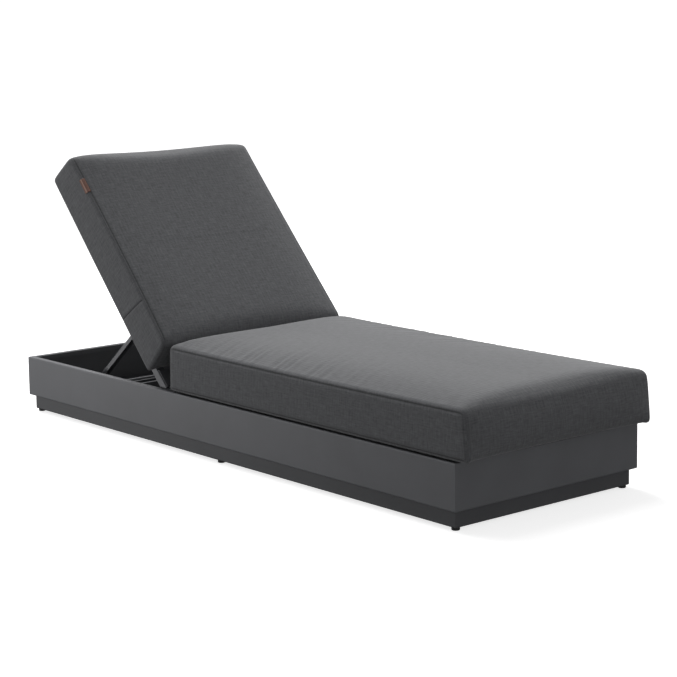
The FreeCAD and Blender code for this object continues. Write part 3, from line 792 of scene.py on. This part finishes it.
# %% [markdown]
# ## The ribbon tag
# The tag lies over the rounded edge of the back cushion, along the seam. A bent strip could
# be modelled by hand, but it would have to be bent again after each change of the cushion.
# Instead a small grid is laid at its place, each of its points drops to the nearest point of
# the cover, and a Solidify modifier gives it the thickness of a folded ribbon. Its free end
# lifts a little.

# %% Lay the ribbon over the edge
RIBBON_THICK = 1.4 * MM
RIBBON_LIFT = 2.5 * MM
LIFT_START_SHARE = 0.3
TAG_SHIFT = 4 * MM
TAG_COLUMNS, TAG_ROWS = 26, 10
tag_low, tag_high = flat_box("seam_tag")
tag_middle = (tag_low + tag_high) / 2
tag_length = tag_high.x - tag_low.x
tag_width = (tag_high.z - tag_low.z) * math.sqrt(2)
clear_selection()
bpy.ops.mesh.primitive_grid_add(x_subdivisions=TAG_COLUMNS, y_subdivisions=TAG_ROWS, size=1)
tag = bpy.context.active_object
tag.name = "ribbon_tag"
uv = tag.data.uv_layers.active
uv.name = "panels"
for corner in tag.data.loops:
    u, v = tag.data.vertices[corner.vertex_index].co.xy + Vector((0.5, 0.5))
    uv.data[corner.index].uv = (v, u * tag_length)
slope = Vector((0, math.sqrt(0.5), math.sqrt(0.5)))
for vertex in tag.data.vertices:
    along, across = vertex.co.xy
    spot = tag_middle + Vector((along * tag_length, 0, 0))
    spot += (across * tag_width + TAG_SHIFT) * slope
    _, near, normal, _ = back.closest_point_on_mesh(spot)
    free = max(0, along) ** 2 * max(0, LIFT_START_SHARE - across)
    vertex.co = near + normal * (RIBBON_THICK / 2 + RIBBON_LIFT * free)
print("ribbon tag:", round(tag_length / MM), "by", round(tag_width / MM), "mm")

# %% Give the ribbon its thickness
tag.data.materials.append(rust_ribbon)
thicken = tag.modifiers.new("thickness", "SOLIDIFY")
thicken.thickness = RIBBON_THICK
thicken.offset = 1
soften = tag.modifiers.new("soft edge", "BEVEL")
soften.width, soften.segments = RIBBON_THICK / 4, 2
pick(tag)
bpy.ops.object.modifier_apply(modifier=thicken.name)
bpy.ops.object.modifier_apply(modifier=soften.name)
bpy.ops.object.shade_smooth_by_angle(angle=math.radians(40))
tag.data.transform(tilt)
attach(tag, "back_cushion")
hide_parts("seam_tag")
print("ribbon tag has", len(tag.data.polygons), "faces")

# %% [markdown]
# ## The back cushion on the propped back
# The tag is sewn on, so the flat cushion can follow it up the slope. Turning the object
# would leave a rotation on it, and the weave's bump and the export both want a piece that
# stands unturned at the origin. So the turn goes into the mesh itself.

# %% Tilt the back cushion
back.data.transform(tilt)
back.data.update()
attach(back, "back_cushion")
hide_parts("back_cushion")
print("top of the back cushion:", round(max(v.co.z for v in back.data.vertices) / MM), "mm up")

# %% [markdown]
# ## Prop legs with their open side to the foot end
# Each prop leg is a channel of folded sheet. The photograph looks into it: two lit lips with
# a dark groove between them. The legs in the frame turn their backs that way. New ones could
# be extruded from a profile, but a channel that pivots on its middle line fits either way
# round. So each leg is a copy of its node, merged, because a CAD node is loose triangles, and
# turned half round about the line through its pin and the foot bar.

# %% Turn the prop legs over
SAME_POINT = MM / 100


def middle_of(node):
    """Middle of a node's box at rest."""
    low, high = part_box(node)
    return (low + high) / 2


def turn_leg_over(hand):
    """Copy one prop leg and turn the copy half round about its own long axis."""
    node = "prop_leg_" + hand
    leg = bpy.data.objects.new("channel_leg_" + hand, nodes[node].data.copy())
    bpy.context.scene.collection.objects.link(leg)
    start_editing(leg)
    bpy.ops.mesh.select_all(action="SELECT")
    bpy.ops.mesh.remove_doubles(threshold=SAME_POINT)
    bpy.ops.object.mode_set(mode="OBJECT")
    bpy.ops.object.shade_smooth_by_angle(angle=math.radians(30))
    pin, bar = middle_of("prop_pin_" + hand), middle_of("prop_foot_bar")
    pin.y = bar.y = middle_of(node).y
    leg.data.transform(Matrix.Translation(pin) @ Matrix.Rotation(math.pi, 4, bar - pin)
                       @ Matrix.Translation(-pin))
    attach(leg, "prop")
    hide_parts(node)
    print(leg.name, "has", len(leg.data.polygons), "faces")


for hand in ("left", "right"):
    turn_leg_over(hand)

# %% [markdown]
# ## Bolts and rivets
# Small stainless fasteners hold the frame: M6 pan heads with a hexagon socket on the end
# plates of the head cross tube and on the corner gussets, and domed rivets on the ratchet
# joints. A head could be turned from a profile by spin. A cylinder whose rim is bevelled
# into a dome is as round and takes two steps, and the bolt's socket is inset and sunk. One of
# each is modelled, each place gets a copy, and the copies of a body are joined.

# %% Model one bolt and one rivet
BOLT_RADIUS, BOLT_HEIGHT, BOLT_DOME = 5.5 * MM, 3.4 * MM, 2.2 * MM
SOCKET_RADIUS, SOCKET_DEPTH = 2.4 * MM, 1.8 * MM
RIVET_RADIUS, RIVET_HEIGHT, RIVET_DOME = 3.2 * MM, 1.6 * MM, 1.4 * MM
HEAD_SIDES = 24
HEXAGON_STEP = math.pi / 3


def domed_head(name, radius, height, dome):
    """A round head that stands on the origin, its upper rim bevelled into a dome."""
    clear_selection()
    bpy.ops.mesh.primitive_cylinder_add(vertices=HEAD_SIDES, radius=radius, depth=height,
                                        location=(0, 0, height / 2))
    bpy.ops.object.transform_apply(location=True, rotation=True, scale=True)
    head = bpy.context.active_object
    head.name = name
    select_edges(head, lambda a, b: min(a.co.z, b.co.z) > height - SAME_POINT)
    bpy.ops.mesh.bevel(offset=dome, segments=4, profile=0.5)
    bpy.ops.object.mode_set(mode="OBJECT")
    return head


def sink_socket(head, radius, depth, outer):
    """Inset the top face to a hexagon and push it down."""
    start_editing(head)
    bpy.ops.mesh.select_mode(type="FACE")
    bpy.ops.object.mode_set(mode="OBJECT")
    top = max(head.data.polygons, key=lambda face: face.center.z)
    top.select = True
    bpy.ops.object.mode_set(mode="EDIT")
    bpy.ops.mesh.inset(thickness=outer - radius)
    bpy.ops.object.mode_set(mode="OBJECT")
    for vertex in head.data.vertices:
        if vertex.select:
            turn = math.atan2(vertex.co.y, vertex.co.x) % HEXAGON_STEP
            reach = radius * math.cos(HEXAGON_STEP / 2) / math.cos(turn - HEXAGON_STEP / 2)
            vertex.co.xy = vertex.co.xy.normalized() * reach
    bpy.ops.object.mode_set(mode="EDIT")
    bpy.ops.mesh.extrude_region_move(TRANSFORM_OT_translate={"value": (0, 0, -depth)})
    bpy.ops.object.mode_set(mode="OBJECT")


bolt = domed_head("pan_head_bolt", BOLT_RADIUS, BOLT_HEIGHT, BOLT_DOME)
sink_socket(bolt, SOCKET_RADIUS, SOCKET_DEPTH, BOLT_RADIUS - BOLT_DOME)
rivet = domed_head("domed_rivet", RIVET_RADIUS, RIVET_HEIGHT, RIVET_DOME)
print("bolt:", len(bolt.data.polygons), "faces, rivet:", len(rivet.data.polygons), "faces")


# %% Copy a head to its places
def fasten(name, head, places, body):
    """Copy a head to each place and direction, join the copies and remove the first head."""
    clear_selection()
    for place, direction in places:
        copy = bpy.data.objects.new(name, head.data.copy())
        bpy.context.scene.collection.objects.link(copy)
        turn = Vector(direction).to_track_quat("Z", "Y").to_matrix().to_4x4()
        copy.data.transform(Matrix.Translation(place) @ turn)
        copy.select_set(True)
        bpy.context.view_layer.objects.active = copy
    bpy.ops.object.join()
    group = bpy.context.active_object
    group.name = name
    group.data.materials.append(steel)
    bpy.ops.object.shade_smooth_by_angle(angle=math.radians(35))
    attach(group, body)
    bpy.data.objects.remove(head)
    print(name + ":", len(places), "pieces")


# %% Bolts on the end plates and the corner gussets
PLATE_EDGE = 9 * MM
GUSSET_NEAR, GUSSET_FAR = 14 * MM, 56 * MM
plate_low, plate_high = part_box("head_cross_tube")
plate_face = min(abs(v.co.y) for v in nodes["head_cross_tube"].data.vertices
                 if v.co.x < plate_low.x + MM)
bolt_places = []
for hand in (-1, 1):
    for x in (plate_low.x + PLATE_EDGE, plate_high.x - PLATE_EDGE):
        spot = Vector((x, hand * plate_face, (plate_low.z + plate_high.z) / 2))
        bolt_places.append((spot, (0, -hand, 0)))
for node in (name for name in nodes if name.startswith("corner_gusset")):
    low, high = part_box(node)
    corner_x, corner_y = (max(low[i], high[i], key=abs) for i in (0, 1))
    for along, across in ((GUSSET_NEAR, GUSSET_NEAR), (GUSSET_FAR, GUSSET_NEAR),
                          (GUSSET_NEAR, GUSSET_FAR)):
        spot = Vector((corner_x - math.copysign(along, corner_x),
                       corner_y - math.copysign(across, corner_y), high.z))
        bolt_places.append((spot, (0, 0, 1)))
fasten("frame_bolts", bolt, bolt_places, "frame")

# %% Rivets on the ratchet joints
RIVET_SHARES = (0.62, 0.86)
rivet_places = []
for hand, node in ((-1, "ratchet_joint_left"), (1, "ratchet_joint_right")):
    low, high = flat_box(node)
    flat = [tilt.inverted() @ v.co for v in nodes[node].data.vertices]
    face = min(abs(p.y) for p in flat if p.x > high.x - MM)
    for share in RIVET_SHARES:
        spot = Vector((low.x + share * (high.x - low.x), hand * face, (low.z + high.z) / 2))
        rivet_places.append((tilt @ spot, (0, -hand, 0)))
fasten("ratchet_rivets", rivet, rivet_places, "backrest")

# %% [markdown]
# ## Camera
# The photograph was taken past the foot end with a long lens, from about 1.3 m above the
# floor and nearly 6 m away. A camera can be set by eye, but then every edge is a little off.
# Here the place in metres, the angles in radians and the lens come from fitting the corners
# of the box to the picture. The shift moves the object up or down in it and keeps the lens.

# %% Place the camera
CAMERA_PLACE = Vector((4.35568, -3.53680, 1.31522))
CAMERA_YAW, CAMERA_PITCH, CAMERA_ROLL = 2.44319, -0.14015, -0.01369
FOCAL_PIXELS, FRAME_PIXELS, SENSOR = 1940.795, 677, 36.0
CAMERA_SHIFT = -0.1
aim = (Matrix.Rotation(CAMERA_YAW - math.pi / 2, 4, "Z")
       @ Matrix.Rotation(math.pi / 2 + CAMERA_PITCH, 4, "X")
       @ Matrix.Rotation(CAMERA_ROLL, 4, "Z"))
bpy.ops.object.camera_add(location=CAMERA_PLACE, rotation=aim.to_euler())
camera = bpy.context.active_object
camera.data.sensor_width = SENSOR
camera.data.lens = FOCAL_PIXELS / FRAME_PIXELS * SENSOR
camera.data.shift_y = CAMERA_SHIFT
bpy.context.scene.camera = camera
print("lens:", round(camera.data.lens, 1), "mm")

# %% [markdown]
# ## Floor
# The photograph is a studio shot on white, where the floor has no edge. A curved backdrop
# could be built, but it shows its bend from other sides. A large pale plane that glows a
# little by itself comes out white under any lamp, and it still takes the soft shadow under
# the plinth. It throws no light back at the object, so that each can be tuned by itself.

# %% Floor
FLOOR_SIZE = 120
FLOOR_GLOW = 0.75
clear_selection()
bpy.ops.mesh.primitive_plane_add(size=FLOOR_SIZE, location=(0, 0, 0))
floor = bpy.context.active_object
floor.name = "studio_floor"
floor_paint, floor_shader = new_material("pale_floor_paint", Roughness=0.9,
                                         Base_Color=colour("e6e6e6"))
floor.data.materials.append(floor_paint)
floor_shader.inputs["Emission Color"].default_value = (1, 1, 1, 1)
floor_shader.inputs["Emission Strength"].default_value = FLOOR_GLOW
floor.visible_diffuse = floor.visible_glossy = False
print("floor:", FLOOR_SIZE, "m square")

# %% [markdown]
# ## Light
# One large soft lamp stands high behind the head end, so the front of the raised back is
# darker than the seat, which shows its slope. A wide even key comes down from the same end.
# A low lamp beside the near side lights the long panel, and a weak one fills the foot end. A
# long lamp on the far side brightens the tops and edges of the cushions. It would also light
# up the open head end, which is dark in the photograph, so light linking keeps it to cloth.

# %% A soft lamp
def soft_box(name, place, target, size, watts):
    """An area lamp at a place, turned to a target."""
    place, target = Vector(place), Vector(target)
    bpy.ops.object.light_add(type="AREA", location=place)
    lamp = bpy.context.active_object
    lamp.name = name
    lamp.data.shape = "RECTANGLE"
    lamp.data.size, lamp.data.size_y = size
    lamp.data.energy = watts
    lamp.rotation_euler = (target - place).to_track_quat("-Z", "Y").to_euler()
    print(name + ":", watts, "W")
    return lamp


# %% Lamps
KEY_DIRECTION = Vector((0.5, 0.03, -0.86))
KEY_STRENGTH = 1.3
KEY_SPREAD = math.radians(40)
soft_box("high_softbox", (-2.6, 0.6, 3.3), target=(0.1, 0, 0.3), size=(2.2, 2.2), watts=90)
soft_box("near_softbox", (-2.0, -1.9, 0.2), target=(-0.9, -0.3, 0.15), size=(1.2, 0.3), watts=14)
soft_box("foot_softbox", (3.2, -0.2, 0.5), target=(1.0, 0, 0.2), size=(1.6, 0.8), watts=3.5)
far_lamp = soft_box("far_softbox", (0.3, 3.0, 1.1), target=(0.3, 0, 0.3), size=(3.0, 0.7),
                    watts=42)
cloth_only = bpy.data.collections.new("lit_by_far_softbox")
for piece in (seat, back, tag):
    cloth_only.objects.link(piece)
far_lamp.light_linking.receiver_collection = cloth_only
bpy.ops.object.light_add(type="SUN", location=(-3, -0.7, 4))
even_key = bpy.context.active_object
even_key.name = "even_key"
even_key.data.energy = KEY_STRENGTH
even_key.data.angle = KEY_SPREAD
even_key.rotation_euler = KEY_DIRECTION.to_track_quat("-Z", "Y").to_euler()
print("even key: strength", KEY_STRENGTH, "from", round(math.degrees(KEY_SPREAD)), "degrees wide")

# %% [markdown]
# ## Studio walls
# White walls fill the shadows of a studio from all round. Real walls could be built, but a
# world background does the same with no bounce to wait for. Its light is a ramp over height:
# bright in a ring at eye level, dimmer above, and darkest straight below, where the floor is.

# %% Studio walls
WALL_RING = ((0.38, 0.1), (0.45, 0.6), (0.48, 1.02), (0.56, 1.02), (0.63, 0.6), (0.80, 0.2))
studio = bpy.context.scene.world or bpy.data.worlds.new("studio")
bpy.context.scene.world = studio
studio.use_nodes = True
wall = studio.node_tree.nodes["Background"]
sky = add_node(studio, "ShaderNodeTexCoord").outputs["Generated"]
height = add_node(studio, "ShaderNodeSeparateXYZ", links={0: sky})
level = add_node(studio, "ShaderNodeMapRange", {"From Min": -0.5, "From Max": 0.5},
                 {"Value": height.outputs["Z"]})
glow = add_node(studio, "ShaderNodeValToRGB", links={"Fac": level.outputs["Result"]})
set_stops(glow, *[(place, (light, light, light, 1)) for place, light in WALL_RING])
studio.node_tree.links.new(glow.outputs["Color"], wall.inputs["Color"])
wall.inputs["Strength"].default_value = 1.0
bpy.context.scene.view_settings.view_transform = "Standard"
print("brightest wall:", max(light for _, light in WALL_RING))
